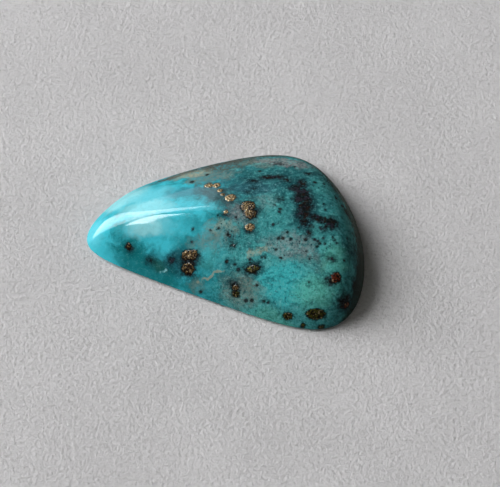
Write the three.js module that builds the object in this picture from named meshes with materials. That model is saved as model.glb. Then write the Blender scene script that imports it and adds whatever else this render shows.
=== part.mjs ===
// A polished freeform turquoise cabochon: one solid stone with a domed face and a flat back.
// Millimetres. +Z points up out of the domed face, +X runs along the length from the narrow
// tip to the broad end, and the origin lies on the flat back, under the middle of the box.
import * as THREE from 'three';

// Heights above the flat back
const GIRDLE_HEIGHT = 0.3; // the widest line of the stone
const RIM_HEIGHT = 0.7; // rolled edge above the girdle
const CROWN_HEIGHT = 4.3; // what a side would climb above the rim if no other side cut it short
const BACK_BEVEL = 0.25; // how far the lower edge draws in between the girdle and the flat back

// The four sides, in order around the stone. Each was ground as one long arc from its own corner
// to the corner of the next side, standing `bulge` outside the straight line between the two.
// The dome climbs from a side over the distance `reach`, and `fall` is the exponent of its curve.
const SIDES = [
  { name: 'front', corner: [-15.5, -5.6], bulge: 0.1, reach: 11.0, fall: 1.7 },
  { name: 'end', corner: [13.6, -10.8], bulge: 4.1, reach: 4.8, fall: 2.4 },
  { name: 'back', corner: [4.6, 10.8], bulge: 0.6, reach: 12.4, fall: 1.8 },
  { name: 'nose', corner: [-10.7, 2.7], bulge: 0.5, reach: 12.0, fall: 1.8 },
];

// Widths over which two neighbouring sides are blended into a rounded corner of the outline
const BACK_CORNER_BLEND = 1.4;
const BROW_BLEND = 0.2;
const TIP_BLEND = 1.8;
const FRONT_CORNER_BLEND = 2.9;

// The keel is the soft ridge where the climbs from two sides meet. It is crisp at the tip, and
// the blend widens towards the broad end, where it melts into the dome.
const KEEL_BLEND_AT_TIP = 0.12;
const KEEL_BLEND_AT_END = 0.9;

const FACE_SETTLES = 0.45; // distance from the girdle in which the face comes into its full curve
const RIM_WIDTH = 1.1; // how quickly the rolled edge is climbed

// Mesh fineness
const RAYS = 112;
const RINGS = 24;
const RING_CROWDING = 1.7; // above 1 the rings crowd towards the rim
const RIM_SAMPLES = 1440;
const SEARCH_RADIUS = 30;
const SEARCH_STEPS = 40;

// Circle that carries a side: it passes through both corners with the stated bulge
function sideCircle(side, nextSide) {
  const start = new THREE.Vector2(...side.corner);
  const end = new THREE.Vector2(...nextSide.corner);
  const chord = end.clone().sub(start);
  const length = chord.length();
  const outward = new THREE.Vector2(chord.y, -chord.x).divideScalar(length);
  const radius = (length * length / 4 + side.bulge * side.bulge) / (2 * side.bulge);
  const centre = start.add(end).multiplyScalar(0.5).addScaledVector(outward, side.bulge - radius);
  return { centre, radius };
}

const CIRCLES = SIDES.map((side, i) => sideCircle(side, SIDES[(i + 1) % SIDES.length]));

// The smaller of two distances, rounded off where they are nearly equal
function smoothMin(a, b, width) {
  return Math.min(a, b) - width * Math.log1p(Math.exp(-Math.abs(a - b) / width));
}

function mix(a, b, share) {
  return a + (b - a) * share;
}

// How far along the stone a point lies: 0 at the tip's corner and 1 at the front corner
function shareAlong(x) {
  const [tipX, endX] = [SIDES[0].corner[0], SIDES[1].corner[0]];
  return THREE.MathUtils.clamp((x - tipX) / (endX - tipX), 0, 1);
}

// Distance inside each of the four sides at a point of the plan
function sideDistances(x, y) {
  return CIRCLES.map(({ centre, radius }) => radius - Math.hypot(x - centre.x, y - centre.y));
}

// Distance in from the rounded outline: zero on it, positive inside
function inset(x, y) {
  const [front, end, back, nose] = sideDistances(x, y);
  const rest = smoothMin(smoothMin(end, back, BACK_CORNER_BLEND), nose, BROW_BLEND);
  return smoothMin(front, rest, mix(TIP_BLEND, FRONT_CORNER_BLEND, shareAlong(x)));
}

// Height of the polished face over a point of the plan
function faceHeight(x, y) {
  const [front, end, back, nose] = sideDistances(x, y).map((distance, i) => {
    const left = 1 - Math.min(distance / SIDES[i].reach, 1);
    return CROWN_HEIGHT * (1 - Math.pow(left, SIDES[i].fall));
  });
  const blend = mix(KEEL_BLEND_AT_TIP, KEEL_BLEND_AT_END, shareAlong(x) ** 2);
  const rest = smoothMin(smoothMin(end, back, blend), nose, blend);
  const crown = smoothMin(front, rest, blend) + blend * Math.LN2;
  const inward = Math.max(inset(x, y), 0);
  const edge = 1 - Math.exp(-inward / FACE_SETTLES);
  const roll = 1 - Math.exp(-inward / RIM_WIDTH);
  return GIRDLE_HEIGHT + RIM_HEIGHT * roll + crown * edge;
}

// Distance from the middle of the plan to the outline, in one direction
function outlineRadius(middle, angle) {
  let inside = 0;
  let outside = SEARCH_RADIUS;
  for (let step = 0; step < SEARCH_STEPS; step += 1) {
    const radius = (inside + outside) / 2;
    if (inset(middle.x + radius * Math.cos(angle), middle.y + radius * Math.sin(angle)) > 0) {
      inside = radius;
    } else {
      outside = radius;
    }
  }
  return inside;
}

// Directions from the middle that cut the outline into equal lengths
function evenRays(middle, count) {
  const samples = [];
  let length = 0;
  for (let i = 0; i <= RIM_SAMPLES; i += 1) {
    const angle = i / RIM_SAMPLES * Math.PI * 2;
    const radius = outlineRadius(middle, angle);
    const point = new THREE.Vector2(radius * Math.cos(angle), radius * Math.sin(angle));
    if (i > 0) {
      length += point.distanceTo(samples[i - 1].point);
    }
    samples.push({ angle, point, length });
  }
  const rays = [];
  let at = 0;
  for (let i = 0; i < count; i += 1) {
    const wanted = i / count * length;
    while (samples[at + 1].length <= wanted) {
      at += 1;
    }
    const span = samples[at + 1].length - samples[at].length;
    rays.push(mix(samples[at].angle, samples[at + 1].angle, (wanted - samples[at].length) / span));
  }
  return rays;
}

// The middle that the rays start from: the mean of the tip and the two far corners
function planMiddle() {
  const [tip, frontCorner, backCorner] = SIDES.map((side) => new THREE.Vector2(...side.corner));
  return tip.add(frontCorner).add(backCorner).divideScalar(3);
}

// One closed body: rings up the face, the girdle, the bevel and the flat back
function cabochonGeometry() {
  const middle = planMiddle();
  const rays = evenRays(middle, RAYS);
  const radii = rays.map((angle) => outlineRadius(middle, angle));
  const positions = [middle.x, middle.y, faceHeight(middle.x, middle.y)];
  const addRing = (radiusAt, heightAt) => {
    rays.forEach((angle, i) => {
      const x = middle.x + radiusAt(radii[i]) * Math.cos(angle);
      const y = middle.y + radiusAt(radii[i]) * Math.sin(angle);
      positions.push(x, y, heightAt(x, y));
    });
  };
  for (let ring = 1; ring <= RINGS; ring += 1) {
    const share = 1 - Math.pow(1 - ring / RINGS, RING_CROWDING);
    addRing((radius) => radius * share, faceHeight);
  }
  addRing((radius) => radius - BACK_BEVEL, () => 0);
  positions.push(middle.x, middle.y, 0);

  const faces = [];
  const rings = RINGS + 1;
  const at = (ring, ray) => 1 + (ring - 1) * RAYS + ray % RAYS;
  const backMiddle = 1 + rings * RAYS;
  for (let ray = 0; ray < RAYS; ray += 1) {
    faces.push(0, at(1, ray), at(1, ray + 1));
    for (let ring = 1; ring < rings; ring += 1) {
      faces.push(at(ring, ray), at(ring + 1, ray), at(ring + 1, ray + 1));
      faces.push(at(ring, ray), at(ring + 1, ray + 1), at(ring, ray + 1));
    }
    faces.push(backMiddle, at(rings, ray + 1), at(rings, ray));
  }

  const geometry = new THREE.BufferGeometry();
  geometry.setAttribute('position', new THREE.Float32BufferAttribute(positions, 3));
  geometry.setIndex(faces);
  geometry.computeBoundingBox();
  const centre = geometry.boundingBox.getCenter(new THREE.Vector3());
  geometry.translate(-centre.x, -centre.y, 0);
  geometry.computeVertexNormals();
  return geometry;
}

function turquoiseCabochon() {
  const polishedTurquoise = new THREE.MeshStandardMaterial({
    color: 0x3fa9b0,
    roughness: 0.18,
    metalness: 0.0,
  });
  const stone = new THREE.Mesh(cabochonGeometry(), polishedTurquoise);
  stone.name = 'turquoise_cabochon';
  return stone;
}

const object = new THREE.Group();
object.add(turquoiseCabochon());

export default object;
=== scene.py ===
"""A polished freeform turquoise cabochon lying on a plain pale sheet, in soft window light.

The stone's form is worked out in millimetres from the same four ground sides as its solid, then
fitted onto the solid's box. Its markings are placed on the face, in millimetres from the
middle of that box: +X towards the broad end, +Y towards the back corner.
"""
import math

import bpy
import numpy as np
from mathutils import Matrix, Vector


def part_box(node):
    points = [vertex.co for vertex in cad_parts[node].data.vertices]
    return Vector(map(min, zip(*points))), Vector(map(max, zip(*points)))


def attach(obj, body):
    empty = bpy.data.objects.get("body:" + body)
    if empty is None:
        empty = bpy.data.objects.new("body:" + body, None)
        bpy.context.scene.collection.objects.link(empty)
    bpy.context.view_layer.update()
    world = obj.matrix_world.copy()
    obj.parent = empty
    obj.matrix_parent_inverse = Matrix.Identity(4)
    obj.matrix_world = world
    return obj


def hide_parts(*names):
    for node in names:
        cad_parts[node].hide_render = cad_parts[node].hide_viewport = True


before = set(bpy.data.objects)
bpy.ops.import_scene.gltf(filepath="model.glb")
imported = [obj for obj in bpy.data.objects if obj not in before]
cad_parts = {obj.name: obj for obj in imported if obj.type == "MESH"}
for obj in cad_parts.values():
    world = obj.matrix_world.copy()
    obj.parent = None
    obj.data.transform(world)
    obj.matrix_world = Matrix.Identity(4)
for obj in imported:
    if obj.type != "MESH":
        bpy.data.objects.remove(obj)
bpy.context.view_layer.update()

MM = 0.001

# ------------------------------------------------------------------ the stone's form, millimetres

GIRDLE_HEIGHT = 0.3  # the widest line of the stone
RIM_HEIGHT = 0.7  # rolled edge above the girdle
CROWN_HEIGHT = 4.3  # what a side would climb above the rim if no other side cut it short
BACK_BEVEL = 0.25  # how far the lower edge draws in to the flat back
FACE_SETTLES = 0.45  # distance from the girdle in which the face comes into its full curve
RIM_WIDTH = 1.1  # how quickly the rolled edge is climbed

# Each side: the corner it starts from, its bulge, the distance over which the dome climbs from
# it, and the exponent of that climb
SIDES = (
    ((-15.5, -5.6), 0.1, 11.0, 1.7),  # front
    ((13.6, -10.8), 4.1, 4.8, 2.4),  # end
    ((4.6, 10.8), 0.6, 12.4, 1.8),  # back
    ((-10.7, 2.7), 0.5, 12.0, 1.8),  # nose
)
BACK_CORNER_BLEND = 1.4
BROW_BLEND = 0.2
TIP_BLEND = 1.8
FRONT_CORNER_BLEND = 2.9
KEEL_BLEND_AT_TIP = 0.12
KEEL_BLEND_AT_END = 0.9

RAYS = 620
RINGS = 146
BACK_RINGS = 5
RING_CROWDING = 1.35
RIM_SAMPLES = 2880
SEARCH_RADIUS = 30.0
SEARCH_STEPS = 40


def side_circle(side, following):
    """Centre and radius of the circle that carries a side."""
    start, end, bulge = np.array(side[0]), np.array(following[0]), side[1]
    chord = end - start
    length = math.hypot(*chord)
    outward = np.array((chord[1], -chord[0])) / length
    radius = (length ** 2 / 4 + bulge ** 2) / (2 * bulge)
    return (start + end) / 2 + outward * (bulge - radius), radius


CIRCLES = [side_circle(side, SIDES[(i + 1) % len(SIDES)]) for i, side in enumerate(SIDES)]


def smooth_min(a, b, width):
    return np.minimum(a, b) - width * np.log1p(np.exp(-np.abs(a - b) / width))


def share_along(x):
    """0 at the tip's corner, 1 at the front corner."""
    return np.clip((x - SIDES[0][0][0]) / (SIDES[1][0][0] - SIDES[0][0][0]), 0, 1)


def side_distances(x, y):
    return [radius - np.hypot(x - centre[0], y - centre[1]) for centre, radius in CIRCLES]


def inset(x, y):
    """Distance in from the rounded outline: zero on it, positive inside."""
    front, end, back, nose = side_distances(x, y)
    rest = smooth_min(smooth_min(end, back, BACK_CORNER_BLEND), nose, BROW_BLEND)
    blend = TIP_BLEND + (FRONT_CORNER_BLEND - TIP_BLEND) * share_along(x)
    return smooth_min(front, rest, blend)


def face_height(x, y):
    """Height of the polished face over a point of the plan."""
    climbs = []
    for distance, (_, _, reach, fall) in zip(side_distances(x, y), SIDES):
        left = 1 - np.minimum(distance / reach, 1)
        climbs.append(CROWN_HEIGHT * (1 - left ** fall))
    front, end, back, nose = climbs
    blend = KEEL_BLEND_AT_TIP + (KEEL_BLEND_AT_END - KEEL_BLEND_AT_TIP) * share_along(x) ** 2
    rest = smooth_min(smooth_min(end, back, blend), nose, blend)
    crown = smooth_min(front, rest, blend) + blend * math.log(2)
    inward = np.maximum(inset(x, y), 0)
    edge = 1 - np.exp(-inward / FACE_SETTLES)
    roll = 1 - np.exp(-inward / RIM_WIDTH)
    return GIRDLE_HEIGHT + RIM_HEIGHT * roll + crown * edge


PLAN_MIDDLE = np.mean([side[0] for side in SIDES[:3]], axis=0)


def outline_radii(angles):
    """Distance from the plan's middle to the outline in each direction."""
    inside = np.zeros_like(angles)
    outside = np.full_like(angles, SEARCH_RADIUS)
    for _ in range(SEARCH_STEPS):
        radius = (inside + outside) / 2
        x = PLAN_MIDDLE[0] + radius * np.cos(angles)
        y = PLAN_MIDDLE[1] + radius * np.sin(angles)
        within = inset(x, y) > 0
        inside = np.where(within, radius, inside)
        outside = np.where(within, outside, radius)
    return inside


def outline_points(angles, radii):
    x = PLAN_MIDDLE[0] + radii * np.cos(angles)
    y = PLAN_MIDDLE[1] + radii * np.sin(angles)
    return np.stack((x, y), -1)


def even_rays(count):
    """Directions that cut the outline into equal lengths, and how far the outline is along each."""
    angles = np.linspace(0, 2 * math.pi, RIM_SAMPLES + 1)
    rim = outline_points(angles, outline_radii(angles))
    travelled = np.concatenate(([0.0], np.cumsum(np.hypot(*np.diff(rim, axis=0).T))))
    wanted = np.arange(count) / count * travelled[-1]
    rays = np.interp(wanted, travelled, angles)
    return rays, outline_radii(rays)


RAY_ANGLES, RAY_LENGTHS = even_rays(RAYS)
OUTLINE = outline_points(RAY_ANGLES, RAY_LENGTHS)
PLAN_LOW, PLAN_HIGH = OUTLINE.min(axis=0), OUTLINE.max(axis=0)
BOX_MIDDLE = (PLAN_LOW + PLAN_HIGH) / 2


def on_face(x, y):
    """The point of the face over (x, y), both measured from the middle of the stone's box."""
    height = face_height(np.float64(x + BOX_MIDDLE[0]), np.float64(y + BOX_MIDDLE[1]))
    return (x, y, float(height))


# ------------------------------------------------------------------ markings, placed one by one
# Each is (x, y, length, width, turn in degrees); length and width are full sizes

TAN_PYRITE = (
    (-2.9, 2.6, 0.85, 0.8, 0),
    (-2.15, 2.7, 0.8, 0.8, 0),
    (-1.6, 1.95, 0.5, 0.5, 0),
    (-1.25, 1.4, 0.4, 0.34, 0),
    (-0.35, 1.05, 1.1, 1.0, 20),
    (-0.4, -0.8, 0.5, 0.42, 0),
    (2.25, -1.95, 0.9, 0.75, 0),
)
BROWN_PYRITE = (
    (1.6, 0.25, 1.4, 1.3, 0),
    (1.9, -0.45, 1.2, 1.1, -40),
    (-3.3, -5.25, 1.1, 0.8, 20),
    (-2.75, -5.2, 0.8, 0.95, -20),
    (-3.0, -6.35, 1.15, 0.95, 0),
    (-9.35, -5.1, 0.45, 0.5, 0),
    (2.0, -7.45, 0.55, 0.5, 0),
)
OLIVE_PYRITE = (
    (3.35, -5.75, 1.1, 0.62, 15),
    (2.1, -7.9, 0.7, 0.5, 0),
    (7.5, -9.05, 0.85, 0.7, 0),
    (10.15, -8.6, 1.75, 0.8, 12),
    (9.1, -9.45, 0.35, 0.25, 0),
    (10.85, -9.2, 0.5, 0.35, 0),
)
RED_PYRITE = (
    (11.45, -5.35, 0.95, 1.0, 0),
    (12.9, -6.95, 0.6, 0.6, 0),
)
PYRITE = TAN_PYRITE + BROWN_PYRITE + OLIVE_PYRITE + RED_PYRITE

# Black matrix: the chain down the broad end, the dark seats of the pyrite, and the larger flecks
BLACK_MATRIX = (
    (6.2, 4.4, 1.2, 0.8, -60),
    (5.8, 3.6, 1.3, 1.1, 30),
    (6.4, 3.1, 1.5, 1.4, 0),
    (6.3, 2.3, 1.3, 1.2, 0),
    (7.0, 2.4, 1.1, 1.2, 0),
    (7.1, 1.4, 1.4, 1.6, -10),
    (7.1, 0.5, 1.3, 1.4, 0),
    (7.35, -0.35, 0.8, 1.0, 20),
    (7.95, -0.75, 0.35, 0.3, 0),
    (8.5, 0.3, 1.3, 0.8, -10),
    (9.25, 0.2, 1.0, 0.8, 0),
    (9.95, 0.1, 1.5, 1.4, 40),
    (9.35, -0.7, 0.6, 0.5, 0),
    (4.6, 4.55, 0.7, 0.5, 0),
    (2.9, 4.65, 1.9, 0.65, 15),
    (3.7, 4.85, 1.1, 0.6, 0),
    (1.4, 3.8, 0.75, 0.42, 0),
    (1.65, 2.75, 0.3, 0.2, 0),
    (1.2, 2.1, 0.22, 0.2, 0),
    (6.55, 6.05, 0.65, 0.42, 20),
    (4.6, 1.85, 0.42, 0.42, 0),
    (8.0, -1.5, 0.55, 0.55, 0),
    (10.65, -3.7, 0.45, 0.3, 0),
    (1.8, -7.25, 0.75, 0.55, 0),
    (10.95, -5.8, 0.9, 0.75, -30),
    (3.3, -5.75, 1.45, 1.1, 15),
    (12.7, -6.9, 1.5, 1.5, 0),
    (13.3, -4.7, 0.4, 0.9, 0),
    (11.2, 2.6, 1.0, 0.6, -30),
    (-2.25, -5.45, 0.5, 0.6, 0),
    (-3.1, -5.8, 1.5, 0.8, 0),
    (-2.95, -6.75, 1.1, 0.5, 0),
    (-4.85, -5.85, 0.6, 0.6, 0),
    (-6.95, -6.05, 0.42, 0.4, 0),
    (-9.1, -5.3, 0.42, 0.4, -40),
    (2.3, -2.3, 0.65, 0.5, 0),
    (2.35, -0.5, 0.8, 1.4, -30),
    (-0.35, -1.15, 0.35, 0.22, 0),
    (0.35, -3.0, 0.5, 0.26, -45),
    (0.9, -3.9, 0.42, 0.4, 0),
    (3.3, 7.0, 0.6, 0.3, 0),
)

# Small dark flecks, (x, y, diameter)
FLECKS = (
    (7.8, -2.25, 0.34), (8.7, -2.1, 0.32), (9.05, -2.15, 0.3), (9.25, -2.4, 0.3), (9.1, -2.7, 0.3),
    (9.5, -1.75, 0.22), (9.75, -2.3, 0.26), (10.35, -1.4, 0.22), (10.6, -1.65, 0.24),
    (10.85, -1.9, 0.24), (11.75, -0.9, 0.2), (5.25, -2.65, 0.32), (5.65, -2.55, 0.32),
    (6.4, -2.5, 0.28), (5.25, -3.7, 0.24), (5.95, -1.85, 0.3), (4.4, -1.3, 0.24),
    (5.8, -4.45, 0.26), (4.3, -4.6, 0.26), (4.0, -4.65, 0.2), (-3.25, -2.95, 0.28),
    (-3.1, -4.1, 0.22), (-0.75, -2.55, 0.24), (-1.5, -2.85, 0.22), (0.65, -5.4, 0.32),
    (1.55, -5.55, 0.26), (1.9, -5.95, 0.34), (0.7, -1.2, 0.26), (-1.1, -1.3, 0.18),
    (-1.4, -7.95, 0.3), (4.95, -8.25, 0.3), (5.4, -8.3, 0.3), (3.2, -8.3, 0.4), (3.75, -8.25, 0.36),
    (4.0, -7.05, 0.26), (8.95, -6.2, 0.2), (-3.5, 4.4, 0.34), (-4.75, 3.05, 0.4),
    (2.9, -4.95, 0.28), (2.95, -5.25, 0.2), (1.7, 5.45, 0.32), (9.8, 3.6, 0.3), (5.05, 6.9, 0.24),
    (4.75, 0.55, 0.32), (4.75, 0.25, 0.26), (4.15, 0.95, 0.2), (-2.85, 2.62, 0.16),
    (-0.4, 1.02, 0.18), (6.9, -1.1, 0.18), (8.1, -3.4, 0.2), (8.6, -4.1, 0.2), (7.4, 4.9, 0.3),
    (8.3, 5.0, 0.26), (9.1, 1.5, 0.22), (8.8, 2.2, 0.2), (10.5, 3.0, 0.22), (11.9, -3.4, 0.24),
)


def nearest_spot(x, y, spots, inner=1.0):
    """How deep each point lies in the nearest of the spots: 1 at its middle, 0 at its edge."""
    depth = np.zeros_like(x)
    for centre_x, centre_y, length, width, turn in spots:
        cos, sin = math.cos(math.radians(turn)), math.sin(math.radians(turn))
        along = ((x - centre_x) * cos + (y - centre_y) * sin) / (length / 2 * inner)
        across = ((y - centre_y) * cos - (x - centre_x) * sin) / (width / 2 * inner)
        depth = np.maximum(depth, 1 - np.hypot(along, across))
    return depth


# ------------------------------------------------------------------ the stone's mesh

PYRITE_RISE = 0.022  # pyrite is harder than the stone, so polishing leaves it proud
PYRITE_GRAIN = 0.028  # roughness of its broken grains
MATRIX_SINK = 0.007  # the soft matrix is undercut
GRAIN_SEED = 11
SHARP_FROM = 50  # edges that turn by more than this many degrees stay crisp


def ring_heights():
    """The face's rings, from the middle outwards: how far out each lies, 0 to 1."""
    steps = np.arange(1, RINGS + 1) / RINGS
    return 1 - (1 - steps) ** RING_CROWDING


def face_grid():
    outward = ring_heights()
    x = PLAN_MIDDLE[0] + outward[:, None] * RAY_LENGTHS * np.cos(RAY_ANGLES)
    y = PLAN_MIDDLE[1] + outward[:, None] * RAY_LENGTHS * np.sin(RAY_ANGLES)
    return x, y


def worn_relief(x, y):
    """Height left by polishing over and around the inclusions."""
    grains = np.random.default_rng(GRAIN_SEED).random(x.shape)
    pyrite = np.clip(nearest_spot(x, y, PYRITE) * 4, 0, 1)
    matrix = np.clip(nearest_spot(x, y, BLACK_MATRIX) * 2.5, 0, 1) * (1 - pyrite)
    return pyrite * (PYRITE_RISE + PYRITE_GRAIN * (grains - 0.5)) - MATRIX_SINK * matrix, pyrite


def stone_rings():
    """Rings of points over the face, the girdle, the bevel and the back, and the pyrite's share."""
    x, y = face_grid()
    z = face_height(x, y)
    z[-1] = GIRDLE_HEIGHT
    relief, pyrite = worn_relief(x - BOX_MIDDLE[0], y - BOX_MIDDLE[1])
    settled = np.clip(inset(x, y) / FACE_SETTLES, 0, 1)
    z = z + relief * settled
    face = np.stack((x, y, z), -1)
    drawn_in = 1 - BACK_BEVEL / RAY_LENGTHS
    rings = list(face)
    for share in (0.5, 1.0):
        radii = RAY_LENGTHS * (1 - share * (1 - drawn_in))
        plan = outline_points(RAY_ANGLES, radii)
        height = np.full(RAYS, GIRDLE_HEIGHT * (1 - share) ** 0.7)
        rings.append(np.column_stack((plan, height)))
    for step in range(BACK_RINGS - 1, 0, -1):
        plan = outline_points(RAY_ANGLES, RAY_LENGTHS * drawn_in * step / BACK_RINGS)
        rings.append(np.column_stack((plan, np.zeros(RAYS))))
    return rings, pyrite


def lathe_faces(ring_count):
    """Quads between neighbouring rings, and a fan at each end."""
    here = np.arange(RAYS)
    after = (here + 1) % RAYS
    faces = [(0, 1 + i, 1 + j) for i, j in zip(here, after)]
    for ring in range(ring_count - 1):
        inner = 1 + ring * RAYS
        outer = inner + RAYS
        faces += list(zip(inner + here, outer + here, outer + after, inner + after))
    last = 1 + (ring_count - 1) * RAYS
    end = 1 + ring_count * RAYS
    faces += [(last + i, end, last + j) for i, j in zip(here, after)]
    return [tuple(int(corner) for corner in face) for face in faces]


def build_stone():
    """The dense stone, fitted onto the box of its solid."""
    rings, pyrite = stone_rings()
    top = (*PLAN_MIDDLE, float(face_height(*PLAN_MIDDLE)))
    points = np.concatenate(([top], *rings, [(*PLAN_MIDDLE, 0.0)]))
    solid_low, solid_high = (np.array(corner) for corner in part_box("turquoise_cabochon"))
    own_low, own_high = points.min(axis=0), points.max(axis=0)
    points = solid_low + (points - own_low) * (solid_high - solid_low) / (own_high - own_low)
    mesh = bpy.data.meshes.new("turquoise_stone")
    mesh.from_pydata([tuple(point) for point in points], [], lathe_faces(len(rings)))
    share = np.zeros(len(points), dtype=np.float32)
    share[1:1 + pyrite.size] = pyrite.ravel()
    mesh.attributes.new("pyrite", "FLOAT", "POINT").data.foreach_set("value", share)
    mesh.shade_smooth()
    mesh.set_sharp_from_angle(angle=math.radians(SHARP_FROM))
    mesh.validate()
    stone = bpy.data.objects.new("turquoise_stone", mesh)
    bpy.context.collection.objects.link(stone)
    return stone


# ------------------------------------------------------------------ shader building

class Level:
    """A number that varies over the surface; arithmetic on it adds Math nodes."""

    def __init__(self, finish, socket):
        self.finish = finish
        self.socket = socket

    def calculate(self, operation, *operands):
        settings = {"operation": operation}
        return self.finish.level("ShaderNodeMath", settings, dict(enumerate(operands)))

    def __add__(self, other):
        return self.calculate("ADD", self, other)

    __radd__ = __add__

    def __sub__(self, other):
        return self.calculate("SUBTRACT", self, other)

    def __rsub__(self, other):
        return self.calculate("SUBTRACT", other, self)

    def __mul__(self, other):
        return self.calculate("MULTIPLY", self, other)

    __rmul__ = __mul__

    def __and__(self, other):
        return self.calculate("MINIMUM", self, other)

    def __or__(self, other):
        return self.calculate("MAXIMUM", self, other)


class Finish:
    """A material being mixed: its one Principled shader and the nodes that feed it."""

    def __init__(self, name):
        self.material = bpy.data.materials.new(name)
        self.material.use_nodes = True
        self.tree = self.material.node_tree
        self.tree.nodes.clear()
        self.turned_points = {}

    def node(self, kind, settings, sockets):
        """Adds a node: its settings first, then the values or links of its sockets."""
        node = self.tree.nodes.new(kind)
        for name, setting in settings.items():
            if name == "stops":
                self.set_stops(node.color_ramp, setting)
            else:
                setattr(node, name, setting)
        for key, given in sockets.items():
            source = given.socket if isinstance(given, Level) else given
            if isinstance(source, bpy.types.NodeSocket):
                self.tree.links.new(source, node.inputs[key])
            else:
                node.inputs[key].default_value = source
        return node

    @staticmethod
    def set_stops(ramp, stops):
        while len(ramp.elements) < len(stops):
            ramp.elements.new(0.5)
        for element, (position, colour) in zip(ramp.elements, stops):
            element.position = position
            element.color = colour

    def level(self, kind, settings, sockets, output=0):
        return Level(self, self.node(kind, settings, sockets).outputs[output])

    def vector(self, operation, *operands):
        settings = {"operation": operation}
        node = self.node("ShaderNodeVectorMath", settings, dict(enumerate(operands)))
        return node.outputs["Vector"]

    def scaled(self, point, factor):
        settings = {"operation": "SCALE"}
        node = self.node("ShaderNodeVectorMath", settings, {0: point, "Scale": factor})
        return node.outputs["Vector"]

    def millimetres(self):
        """The place on the piece, in millimetres."""
        place = self.node("ShaderNodeTexCoord", {}, {}).outputs["Object"]
        return self.scaled(place, 1 / MM)

    def shaken(self, point, scale, reach):
        """The same point, moved about by noise."""
        noise = self.noise(point, scale, 3).outputs["Color"]
        drift = self.vector("SUBTRACT", noise, (0.5, 0.5, 0.5))
        return self.vector("ADD", point, self.scaled(drift, reach))

    def cells(self, point, scale):
        sockets = {"Vector": point, "Scale": scale}
        return self.node("ShaderNodeTexVoronoi", {"feature": "F1"}, sockets)

    def noise(self, point, scale, detail=3.0, roughness=0.55):
        settings = {"noise_dimensions": "3D"}
        sockets = {"Vector": point, "Scale": scale, "Detail": detail, "Roughness": roughness}
        return self.node("ShaderNodeTexNoise", settings, sockets)

    def cloud(self, point, scale, detail=3.0, roughness=0.55):
        return Level(self, self.noise(point, scale, detail, roughness).outputs[0])

    def rise(self, level, low, high, to_low=0.0, to_high=1.0):
        """Goes smoothly from to_low to to_high while the level goes from low to high."""
        settings = {"interpolation_type": "SMOOTHSTEP"}
        sockets = {0: level, 1: low, 2: high, 3: to_low, 4: to_high}
        return self.level("ShaderNodeMapRange", settings, sockets)

    def cover(self, under, over, mask, blend="MIX"):
        """Lays one colour over another where the mask is 1."""
        settings = {"data_type": "RGBA", "blend_type": blend, "clamp_factor": True}
        return self.node("ShaderNodeMix", settings, {0: mask, 6: under, 7: over}).outputs[2]

    def turned(self, point, turn):
        """The same point measured along and across a direction on the face."""
        if turn == 0:
            return point
        if (point, turn) not in self.turned_points:
            cos, sin = math.cos(math.radians(turn)), math.sin(math.radians(turn))
            along = self.dot(point, (cos, sin, 0))
            across = self.dot(point, (-sin, cos, 0))
            up = self.dot(point, (0, 0, 1))
            made = self.node("ShaderNodeCombineXYZ", {}, {0: along, 1: across, 2: up})
            self.turned_points[point, turn] = made.outputs["Vector"]
        return self.turned_points[point, turn]

    def dot(self, point, direction):
        settings = {"operation": "DOT_PRODUCT"}
        return self.level("ShaderNodeVectorMath", settings, {0: point, 1: direction}, "Value")

    def spot_distance(self, point, spot):
        """Signed distance to the edge of one spot on the face, in millimetres."""
        x, y, length, width, turn = spot
        centre = Matrix.Rotation(-math.radians(turn), 3, "Z") @ Vector(on_face(x, y))
        stretch = Vector((2 / length, 2 / width, 2 / max(length, width)))
        local = self.vector("MULTIPLY_ADD", self.turned(point, turn), stretch, -centre * stretch)
        across = self.level("ShaderNodeVectorMath", {"operation": "LENGTH"}, {0: local}, "Value")
        size = (length + width) / 4
        return across.calculate("MULTIPLY_ADD", across, size, -size)

    def fleck_distance(self, point, fleck):
        x, y, diameter = fleck
        settings = {"operation": "DISTANCE"}
        sockets = {0: point, 1: on_face(x, y)}
        away = self.level("ShaderNodeVectorMath", settings, sockets, "Value")
        return away - diameter / 2

    def nearest(self, distances):
        """The distance to the nearest of several spots."""
        closest = None
        for distance in distances:
            closest = distance if closest is None else closest & distance
        return closest

    def bump(self, relief, depth):
        sockets = {"Strength": 1.0, "Distance": depth, "Height": relief}
        return self.node("ShaderNodeBump", {}, sockets).outputs["Normal"]

    def made(self, sockets):
        """Closes the material with its shader."""
        shader = self.node("ShaderNodeBsdfPrincipled", {}, sockets)
        self.node("ShaderNodeOutputMaterial", {}, {"Surface": shader.outputs[0]})
        return self.material


def dye(red, green, blue):
    """A colour named as on a swatch card, 0 to 255, made linear."""
    linear = []
    for channel in (red, green, blue):
        share = channel / 255
        linear.append(share / 12.92 if share <= 0.04045 else ((share + 0.055) / 1.055) ** 2.4)
    return (*linear, 1.0)


# ------------------------------------------------------------------ the stone's finish

DEEP_TEAL = dye(16, 114, 120)
TURQUOISE = dye(66, 194, 212)
PATCH_BLUE = dye(60, 180, 186)
DULL_TEAL = dye(30, 88, 94)
SEA_GREEN = dye(66, 154, 156)
DARK_TEAL = dye(18, 62, 70)
AQUA = dye(78, 168, 166)
PALE_AQUA = dye(98, 184, 184)
MINT = dye(92, 182, 164)
MILKY_BLUE = dye(158, 228, 236)
PALE_BLUE = dye(112, 210, 226)
SLATE_BLUE = dye(48, 96, 112)
GREY_QUARTZ = dye(112, 126, 118)
DULL_QUARTZ = dye(92, 98, 88)
BROWN_QUARTZ = dye(84, 78, 66)
PINK_QUARTZ = dye(146, 140, 140)
CREAM_QUARTZ = dye(160, 162, 142)
UMBER = dye(92, 78, 66)
SMOKY_TEAL = dye(56, 78, 82)
OLIVE_BLACK = dye(34, 42, 34)
OLIVE_STAIN = dye(38, 92, 62)
# painted shade for the steep end
END_SHADE = dye(12, 34, 30)
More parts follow.
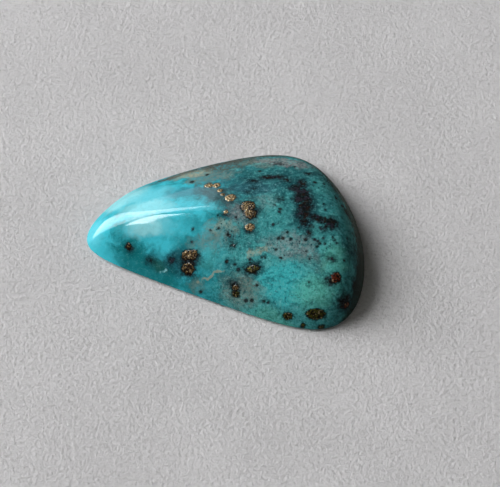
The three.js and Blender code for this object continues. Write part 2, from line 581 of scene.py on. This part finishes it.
BLACK = dye(10, 14, 15)
BROWN_BLACK = dye(36, 22, 18)
PLUM_BLACK = dye(40, 34, 44)
BLUE_BLACK = dye(16, 40, 50)
TAN_GOLD = dye(156, 128, 92)
PAINTED_GLINT_GOLD = dye(206, 184, 146)
BROWN_GOLD = dye(112, 88, 52)
OLIVE_GOLD = dye(84, 82, 28)
RED_BROWN = dye(120, 48, 20)

# Broad soft areas: (x, y, length, width, turn), colour, strength, softness in millimetres
AREAS = (
    ((-11.2, 0.6, 5.0, 3.0, 32), MILKY_BLUE, 0.85, 0.9),
    ((-13.6, -3.8, 2.6, 4.0, -10), PALE_BLUE, 0.6, 0.9),
    ((-8.2, 0.6, 4.8, 2.4, 20), PALE_BLUE, 0.8, 0.9),
    ((-8.4, -1.2, 5.4, 2.0, 8), MILKY_BLUE, 0.6, 0.8),
    ((-7.8, -3.2, 4.4, 1.8, 8), MILKY_BLUE, 0.75, 0.8),
    ((-4.6, -2.9, 3.0, 1.6, 5), TURQUOISE, 0.6, 0.9),
    ((-3.6, -4.4, 2.8, 1.8, 0), DEEP_TEAL, 0.7, 0.7),
    ((-6.8, -6.8, 7.6, 2.2, -16), DEEP_TEAL, 0.85, 0.9),
    ((-12.6, -5.8, 4.2, 2.0, -20), TURQUOISE, 0.7, 0.8),
    ((-8.4, -5.6, 2.2, 1.2, -20), DEEP_TEAL, 0.6, 0.7),
    ((-5.9, -6.3, 1.7, 1.0, -15), OLIVE_STAIN, 0.65, 0.4),
    ((-5.4, -6.2, 3.4, 1.8, -10), DARK_TEAL, 0.5, 0.8),
    ((-3.6, -5.8, 3.0, 2.6, 0), DARK_TEAL, 0.85, 0.7),
    ((-4.4, 1.5, 5.0, 1.6, 8), SLATE_BLUE, 0.6, 0.8),
    ((-1.6, 1.2, 4.6, 2.8, -20), SMOKY_TEAL, 0.9, 0.8),
    ((1.1, -0.1, 2.6, 2.6, 0), SMOKY_TEAL, 0.55, 0.8),
    ((-1.2, -5.2, 2.6, 2.4, 0), AQUA, 0.4, 0.9),
    ((0.0, -7.2, 4.6, 2.0, 0), DEEP_TEAL, 0.45, 0.9),
    ((6.6, -6.8, 5.6, 3.4, 0), PATCH_BLUE, 0.85, 0.8),
    ((9.8, -6.9, 4.2, 3.0, 20), MINT, 0.7, 0.9),
    ((6.8, -5.2, 2.2, 1.4, 10), PATCH_BLUE, 0.6, 0.6),
    ((1.4, -6.2, 3.0, 2.2, 0), DULL_TEAL, 0.45, 0.7),
    ((6.4, -9.6, 5.0, 1.6, -14), MINT, 0.5, 0.7),
    ((-1.2, -9.0, 9.0, 2.2, -16), DEEP_TEAL, 0.4, 1.0),
    ((9.8, -10.3, 5.0, 1.4, 0), OLIVE_BLACK, 0.75, 0.5),
    ((4.2, -1.0, 4.8, 3.8, 0), SEA_GREEN, 0.75, 1.0),
    ((3.8, 1.2, 2.8, 2.4, 0), AQUA, 0.45, 0.9),
    ((1.2, 2.9, 5.4, 2.2, 10), SMOKY_TEAL, 0.5, 0.9),
    ((1.8, 2.9, 4.6, 2.0, 10), SLATE_BLUE, 0.6, 0.9),
    ((5.2, 5.2, 13.0, 4.2, 4), DARK_TEAL, 0.4, 1.2),
    ((-1.6, 4.2, 7.0, 3.2, 12), DARK_TEAL, 0.55, 1.0),
    ((7.5, 0.8, 3.4, 4.0, 0), BLUE_BLACK, 0.65, 0.9),
    ((9.0, 1.1, 1.8, 1.4, 0), SEA_GREEN, 0.6, 0.6),
    ((8.6, -0.9, 1.4, 1.0, 0), AQUA, 0.7, 0.4),
    ((10.2, -2.1, 2.0, 1.8, 0), AQUA, 0.65, 0.5),
    ((10.9, -3.6, 2.4, 3.0, 0), MINT, 0.6, 0.7),
    ((8.2, 4.4, 2.0, 2.0, 0), AQUA, 0.5, 0.8),
    # painted shade: a dark strip down the steep end
    ((13.6, -3.0, 1.4, 10.0, 8), DARK_TEAL, 0.7, 0.7),
    ((11.8, 3.0, 1.6, 5.0, 24), OLIVE_BLACK, 0.6, 0.8),
)

QUARTZ = (
    ((6.6, -3.1, 4.6, 2.2, 5), PINK_QUARTZ, 0.55, 1.0),
    ((0.9, -0.9, 2.4, 1.4, -20), PINK_QUARTZ, 0.55, 0.7),
    ((-0.4, -2.4, 2.4, 1.2, 15), CREAM_QUARTZ, 0.6, 0.7),
    ((-1.3, -3.8, 3.4, 1.6, 10), GREY_QUARTZ, 0.6, 0.7),
    ((3.6, -4.1, 2.4, 0.8, 30), CREAM_QUARTZ, 0.75, 0.4),
    ((2.6, -7.6, 3.8, 2.6, -10), GREY_QUARTZ, 0.8, 0.8),
    ((2.9, -7.3, 2.0, 1.2, 0), DULL_QUARTZ, 0.5, 0.5),
    ((-3.0, 4.2, 4.6, 2.2, 14), GREY_QUARTZ, 0.75, 0.7),
    ((-5.4, 4.7, 4.2, 1.8, 20), CREAM_QUARTZ, 0.95, 0.5),
    ((-1.8, 6.4, 5.4, 2.4, 16), BROWN_QUARTZ, 0.95, 0.6),
    ((1.6, 7.0, 4.0, 1.8, 6), GREY_QUARTZ, 0.7, 0.6),
    ((3.8, 7.5, 5.6, 1.6, -2), PINK_QUARTZ, 0.8, 0.6),
    ((-7.4, 3.9, 3.0, 0.7, 22), UMBER, 0.8, 0.3),
    ((3.4, 1.2, 1.8, 1.4, 0), PINK_QUARTZ, 0.3, 0.8),
    ((-1.9, -7.6, 1.6, 0.9, 0), GREY_QUARTZ, 0.5, 0.5),
    ((8.8, -4.2, 3.0, 1.4, 0), GREY_QUARTZ, 0.25, 0.7),
    ((-4.9, 3.0, 0.9, 0.8, 0), GREY_QUARTZ, 0.5, 0.3),
)

PEPPERED = (
    (6.6, -3.1, 5.0, 2.4, 5),
    (9.4, -3.4, 3.4, 3.0, 0),
    (-1.5, 6.6, 8.0, 1.6, 10),
    (8.0, 3.0, 5.0, 5.0, 0),
    (0.4, -2.6, 3.6, 2.2, 10),
)

VEINS = (
    ((-0.5, -6.6, 2.9, 0.34, 33), CREAM_QUARTZ),
    ((-5.35, -6.7, 1.1, 0.34, 8), MILKY_BLUE),
    ((-1.75, -7.35, 0.7, 0.36, 0), CREAM_QUARTZ),
    ((1.3, -6.2, 1.5, 0.16, 40), DARK_TEAL),
    ((-1.6, -9.2, 1.6, 0.3, 20), CREAM_QUARTZ),
)


# Each kind of pyrite: its grains, main and dark tone, and how black its seat in the stone is
PYRITE_FINISHES = (
    (TAN_PYRITE, TAN_GOLD, BROWN_GOLD, 0.35),
    (BROWN_PYRITE, BROWN_GOLD, BROWN_BLACK, 0.95),
    (OLIVE_PYRITE, OLIVE_GOLD, BROWN_BLACK, 0.9),
    (RED_PYRITE, RED_BROWN, BROWN_BLACK, 0.9),
)

UP = (0, 0, 1)
BACK_SIDE_FACES = (-0.468, 0.884, 0)
END_FACES = (1, 0.1, 0)

STONE_IOR = 1.61
STONE_SPECULAR = 0.35
POLISH = 0.06  # roughness of the clean polished face
METAL_SHARE = 0.55  # how metallic the broken pyrite looks


class RockGrain:
    """The noise that all the markings share, and the places they are measured from."""

    def __init__(self, finish):
        self.point = finish.millimetres()
        self.seat = finish.shaken(self.point, 0.7, 1.6)
        self.rough_point = finish.shaken(self.point, 3.0, 0.22)
        self.broad = finish.cloud(self.seat, 0.32, 3, 0.5)
        self.clouds = finish.cloud(self.seat, 1.0, 5, 0.65)
        self.grain = finish.cloud(self.point, 3.2, 4, 0.7)
        self.fine = finish.cloud(self.point, 7.5, 3, 0.6)
        self.along = finish.level("ShaderNodeSeparateXYZ", {}, {0: self.point})
        self.broad_end = finish.rise(self.along + self.broad * 5, -0.5, 4.5)


def clouded_ground(finish, rock):
    """The stone's own colour: bluer towards the tip, greener towards the broad end."""
    light = finish.cover(TURQUOISE, SEA_GREEN, rock.broad_end)
    deep = finish.cover(DEEP_TEAL, DULL_TEAL, rock.broad_end)
    colour = finish.cover(deep, light, finish.rise(rock.broad + rock.clouds * 0.8, 0.6, 1.05))
    wisps = finish.rise(rock.clouds, 0.55, 0.72) * rock.broad_end * 0.55
    return finish.cover(colour, AQUA, wisps)


def soft_areas(finish, rock, colour):
    for spot, tint, strength, softness in AREAS:
        edge = finish.spot_distance(rock.seat, spot) + (rock.clouds - 0.5) * softness * 2
        colour = finish.cover(colour, tint, finish.rise(edge, softness, -softness, 0.0, strength))
    return colour


def quartz_patches(finish, rock, colour):
    granules = finish.rise(rock.grain * 0.7 + rock.fine * 0.3, 0.36, 0.56, 0.2, 1.0)
    for spot, tint, strength, softness in QUARTZ:
        edge = finish.spot_distance(rock.seat, spot)
        edge = edge + (rock.clouds - 0.5) * 2.4 + (rock.grain - 0.5) * 1.2
        shown = finish.rise(edge, softness, -softness * 0.6, 0.0, strength)
        colour = finish.cover(colour, tint, shown * granules)
    return colour


def mottling(finish, rock, colour):
    """Pale and dark flecking through the rock, stronger in the broad end."""
    mottle = finish.cloud(rock.seat, 1.9, 4, 0.65)
    pale = finish.rise(mottle, 0.53, 0.66) * (rock.broad_end * 0.4 + 0.08)
    colour = finish.cover(colour, PALE_AQUA, pale)
    dark = finish.rise(mottle, 0.48, 0.36) * (rock.broad_end * 0.45 + 0.05)
    colour = finish.cover(colour, DARK_TEAL, dark)
    shade = finish.rise(rock.grain, 0.52, 0.3) * (rock.broad_end * 0.4 + 0.1)
    colour = finish.cover(colour, DARK_TEAL, shade)
    gleam = finish.rise(rock.grain * 0.6 + rock.fine * 0.4, 0.52, 0.66)
    gleam = gleam * (rock.broad_end * 0.2 + 0.1)
    return finish.cover(colour, MILKY_BLUE, gleam)


def thin_veins(finish, rock, colour):
    for spot, tint in VEINS:
        edge = finish.spot_distance(rock.seat, spot) + (rock.grain - 0.4) * 1.1
        colour = finish.cover(colour, tint, finish.rise(edge, 0.12, -0.12, 0.0, 0.6))
    return colour


def umber_back_and_painted_end_shade(finish, rock, height, colour):
    """Umber low along the back side, and painted shade: a dark band down the steep end."""
    low = finish.rise(height + (rock.grain - 0.5) * 1.2, 1.9, 0.7)
    brow = finish.rise(rock.along, -9.5, -6.5)
    back_edge = finish.rise(finish.dot(rock.point, BACK_SIDE_FACES), 6.0, 7.0) * brow
    colour = finish.cover(colour, UMBER, low * back_edge * 0.7)
    # painted shade: the steep end is darkened in colour where it faces away from the light over its
    # shadowed floor
    painted_end_shade = finish.rise(finish.dot(rock.point, END_FACES) - height * 0.6, 10.9, 12.0)
    return finish.cover(colour, END_SHADE, painted_end_shade * 0.9)


def pepper(finish, rock, colour):
    """Blue-black dots, thick in the peppered areas and thin over the rest of the broad end."""
    dots = finish.cells(rock.rough_point, 3.4)
    chance = finish.level("ShaderNodeSeparateColor", {}, {0: dots.outputs["Color"]})
    shown = finish.rise(Level(finish, dots.outputs["Distance"]), 0.42, 0.12)
    shown = shown * finish.rise(chance, 0.45, 0.75)
    peppered = finish.nearest(finish.spot_distance(rock.seat, spot) for spot in PEPPERED)
    share = finish.rise(peppered, 0.5, -0.5, 0.0, 0.9) | rock.broad_end * 0.4
    return finish.cover(colour, BLUE_BLACK, shown * share)


def ink(finish, rock):
    """The colour of the black matrix, with brown, plum, teal and grey in it."""
    stain = finish.cloud(rock.point, 1.7, 3, 0.6)
    colour = finish.cover(BLACK, BROWN_BLACK, finish.rise(stain, 0.5, 0.6))
    colour = finish.cover(colour, PLUM_BLACK, finish.rise(stain, 0.48, 0.4))
    colour = finish.cover(colour, DULL_TEAL, finish.rise(rock.grain, 0.54, 0.7) * 0.55)
    return finish.cover(colour, GREY_QUARTZ, finish.rise(rock.fine, 0.58, 0.74) * 0.35)


def black_matrix(finish, rock, colour):
    """The black spots and flecks, each in a blue-black halo."""
    ragged = (rock.grain - 0.5) * 1.2 + (rock.fine - 0.5) * 0.35
    spots = (finish.spot_distance(rock.rough_point, spot) for spot in BLACK_MATRIX)
    matrix = finish.nearest(spots) + ragged
    colour = finish.cover(colour, BLUE_BLACK, finish.rise(matrix, 0.8, -0.2, 0.0, 0.7))
    inked = finish.rise(matrix, 0.3, -0.34, 0.0, 0.95)
    dots = (finish.fleck_distance(rock.rough_point, fleck) for fleck in FLECKS)
    flecks = finish.nearest(dots) + ragged * 0.2
    colour = finish.cover(colour, BLUE_BLACK, finish.rise(flecks, 0.22, 0.0, 0.0, 0.35))
    inked = inked | finish.rise(flecks, 0.08, -0.06, 0.0, 0.88)
    return finish.cover(colour, ink(finish, rock), inked)


def pyrite_grains(finish, rock, colour):
    """The colour with the grains laid in, and a mask of where they are."""
    crystals = finish.cells(rock.rough_point, 6.5)
    tone_of = finish.level("ShaderNodeSeparateColor", {}, {0: crystals.outputs["Color"]})
    joint = Level(finish, crystals.outputs["Distance"])
    metal = None
    for spots, tone, dark, seat_depth in PYRITE_FINISHES:
        distance = finish.nearest(finish.spot_distance(rock.rough_point, spot) for spot in spots)
        broken = distance + (rock.grain - 0.5) * 0.5
        colour = finish.cover(colour, BLACK, finish.rise(broken, 0.26, 0.0, 0.0, seat_depth))
        shown = finish.rise(broken, 0.05, -0.05)
        gold = finish.cover(dark, tone, finish.rise(tone_of, 0.15, 0.55))
        # painted glints: some crystals, picked at random, are paled towards bright brass
        gold = finish.cover(gold, PAINTED_GLINT_GOLD, finish.rise(tone_of, 0.78, 0.95) * 0.55)
        gold = finish.cover(gold, BLACK, finish.rise(joint, 0.42, 0.8) * 0.85)
        colour = finish.cover(colour, gold, shown)
        metal = shown if metal is None else metal | shown
    return colour, metal


def worn_surface(finish, rock):
    """Chipped pyrite, and the faint unevenness of hand polishing."""
    grit = finish.level("ShaderNodeAttribute", {"attribute_name": "pyrite"}, {}, "Fac")
    chips = Level(finish, finish.cells(rock.point, 6.0).outputs["Distance"])
    peel = finish.cloud(rock.point, 1.2, 2)
    return finish.bump(chips * grit * 0.03 + peel * 0.004, MM)


def polished_turquoise():
    finish = Finish("polished_turquoise")
    rock = RockGrain(finish)
    colour = soft_areas(finish, rock, clouded_ground(finish, rock))
    height = finish.dot(rock.point, UP)
    colour = quartz_patches(finish, rock, colour)
    colour = mottling(finish, rock, colour)
    colour = thin_veins(finish, rock, colour)
    colour = umber_back_and_painted_end_shade(finish, rock, height, colour)
    colour = pepper(finish, rock, colour)
    colour = black_matrix(finish, rock, colour)
    colour, metal = pyrite_grains(finish, rock, colour)
    normal = worn_surface(finish, rock)
    matt_back = finish.rise(height, 0.32, 0.12, 0.0, 0.5)
    haze = finish.rise(rock.grain, 0.4, 0.7, 0.0, 0.04)
    return finish.made({
        "Base Color": colour,
        "Roughness": POLISH + metal * 0.28 + matt_back + haze,
        "Metallic": metal * METAL_SHARE,
        "IOR": STONE_IOR,
        "Specular IOR Level": STONE_SPECULAR,
        "Normal": normal,
    })


# ------------------------------------------------------------------ floor, light and camera

FLOOR_SIZE = 0.5
FIBRE_DEPTH = 0.6 * MM

SHEET = dye(236, 233, 235)
LIGHT_SHEET = dye(242, 239, 241)
GREY_PULP = dye(196, 193, 192)
WHITE_FIBRE = dye(250, 248, 249)


def pale_sheet():
    finish = Finish("pale_sheet")
    point = finish.millimetres()
    broad = finish.cloud(point, 0.08, 3)
    pulp = finish.cloud(point, 2.6, 5, 0.75)
    fibres = finish.cloud(finish.vector("MULTIPLY", point, (1.0, 2.2, 1.0)), 0.9, 5, 0.8)
    colour = finish.cover(SHEET, LIGHT_SHEET, finish.rise(broad, 0.35, 0.65))
    colour = finish.cover(colour, GREY_PULP, finish.rise(pulp, 0.5, 0.7) * 0.6)
    colour = finish.cover(colour, WHITE_FIBRE, finish.rise(fibres, 0.5, 0.66) * 0.5)
    return finish.made({
        "Base Color": colour,
        "Roughness": 0.9,
        "Specular IOR Level": 0.2,
        "Normal": finish.bump(pulp * 0.6 + fibres * 0.6, FIBRE_DEPTH),
    })


def build_floor():
    half = FLOOR_SIZE / 2
    mesh = bpy.data.meshes.new("floor")
    corners = ((-half, -half, 0), (half, -half, 0), (half, half, 0), (-half, half, 0))
    mesh.from_pydata(corners, [], [(0, 1, 2, 3)])
    floor = bpy.data.objects.new("floor", mesh)
    floor.data.materials.append(pale_sheet())
    floor.visible_glossy = False
    bpy.context.collection.objects.link(floor)


LIGHT_DISTANCE = 1.2

DAYLIGHT = (0.95, 0.99, 1.0)
BLUE_SKY = (0.6, 0.9, 1.0)
ROOM_TINT = (0.97, 1.0, 0.86, 1.0)
ROOM_STRENGTH = 0.045
PALE_WALL = dye(214, 213, 214)

# Each light: name, azimuth, elevation, width and height in degrees, brightness, colour, roll
PANES = (
    ("window_pane", -62.2, 21.7, 53, 58.4, 5.4, DAYLIGHT, 16.3),
    ("transom_pane", -87.6, 64.1, 37.9, 8.2, 12.5, DAYLIGHT, 0.0),
    ("pale_sky", -33, 28, 20, 42, 1.7, BLUE_SKY, -8),
)
FILLS = (
    ("side_light", -82, 34, 44, 38, 8.8, (0.99, 1.0, 1.0), 0.0),
    ("front_fill", -165, 50, 60, 40, 0.35, (1.0, 1.0, 0.94), 0.0),
)


def bearing(azimuth, elevation):
    """A direction: azimuth from +Y towards +X, elevation above the floor, in degrees."""
    turn, lift = math.radians(azimuth), math.radians(elevation)
    level = math.cos(lift)
    return Vector((math.sin(turn) * level, math.cos(turn) * level, math.sin(lift)))


def window(name, azimuth, elevation, wide, tall, brightness, colour, roll):
    """A soft rectangular light; wide and tall are in degrees as seen from the stone."""
    light = bpy.data.lights.new(name, "AREA")
    light.shape = "RECTANGLE"
    light.size = 2 * LIGHT_DISTANCE * math.tan(math.radians(wide / 2))
    light.size_y = 2 * LIGHT_DISTANCE * math.tan(math.radians(tall / 2))
    light.energy = brightness * math.pi * light.size * light.size_y
    light.color = colour
    away = bearing(azimuth, elevation)
    facing = away.to_track_quat("Z", "Y").to_matrix().to_4x4()
    tilted = facing @ Matrix.Rotation(math.radians(roll), 4, "Z")
    holder = bpy.data.objects.new(name, light)
    holder.matrix_world = Matrix.Translation(away * LIGHT_DISTANCE) @ tilted
    holder.visible_camera = False
    bpy.context.collection.objects.link(holder)
    return holder


def light_room():
    """Panes that show in the polish only, and soft lights that only fill the form."""
    for pane in PANES:
        window(*pane).visible_diffuse = False
    for fill in FILLS:
        window(*fill).visible_glossy = False
    world = bpy.data.worlds.new("room")
    bpy.context.scene.world = world
    world.use_nodes = True
    nodes, links = world.node_tree.nodes, world.node_tree.links
    dim = nodes["Background"]
    dim.inputs["Color"].default_value = ROOM_TINT
    dim.inputs["Strength"].default_value = ROOM_STRENGTH
    wall = nodes.new("ShaderNodeBackground")
    wall.inputs["Color"].default_value = PALE_WALL
    seen = nodes.new("ShaderNodeLightPath")
    either = nodes.new("ShaderNodeMixShader")
    links.new(seen.outputs["Is Camera Ray"], either.inputs[0])
    links.new(dim.outputs[0], either.inputs[1])
    links.new(wall.outputs[0], either.inputs[2])
    links.new(either.outputs[0], nodes["World Output"].inputs["Surface"])


CAMERA_AZIMUTH = 12.0
CAMERA_ELEVATION = 60.0
CAMERA_DISTANCE = 180 * MM
CAMERA_TARGET = Vector((2.09 * MM, -1.18 * MM, 0.0))
SENSOR_WIDTH = 36.0
LENS = 129.6


def build_camera():
    turn, lift = math.radians(CAMERA_AZIMUTH), math.radians(CAMERA_ELEVATION)
    level = math.cos(lift)
    ahead = Vector((-math.sin(turn) * level, math.cos(turn) * level, -math.sin(lift)))
    lens = bpy.data.cameras.new("camera")
    lens.sensor_width = SENSOR_WIDTH
    lens.lens = LENS
    lens.clip_start = MM
    camera = bpy.data.objects.new("camera", lens)
    camera.location = CAMERA_TARGET - ahead * CAMERA_DISTANCE
    camera.rotation_euler = ahead.to_track_quat("-Z", "Y").to_euler()
    bpy.context.collection.objects.link(camera)
    bpy.context.scene.camera = camera


build_camera()
stone = build_stone()
stone.data.materials.append(polished_turquoise())
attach(stone, "root")
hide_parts("turquoise_cabochon")
build_floor()
light_room()
bpy.context.scene.view_settings.view_transform = "Standard"
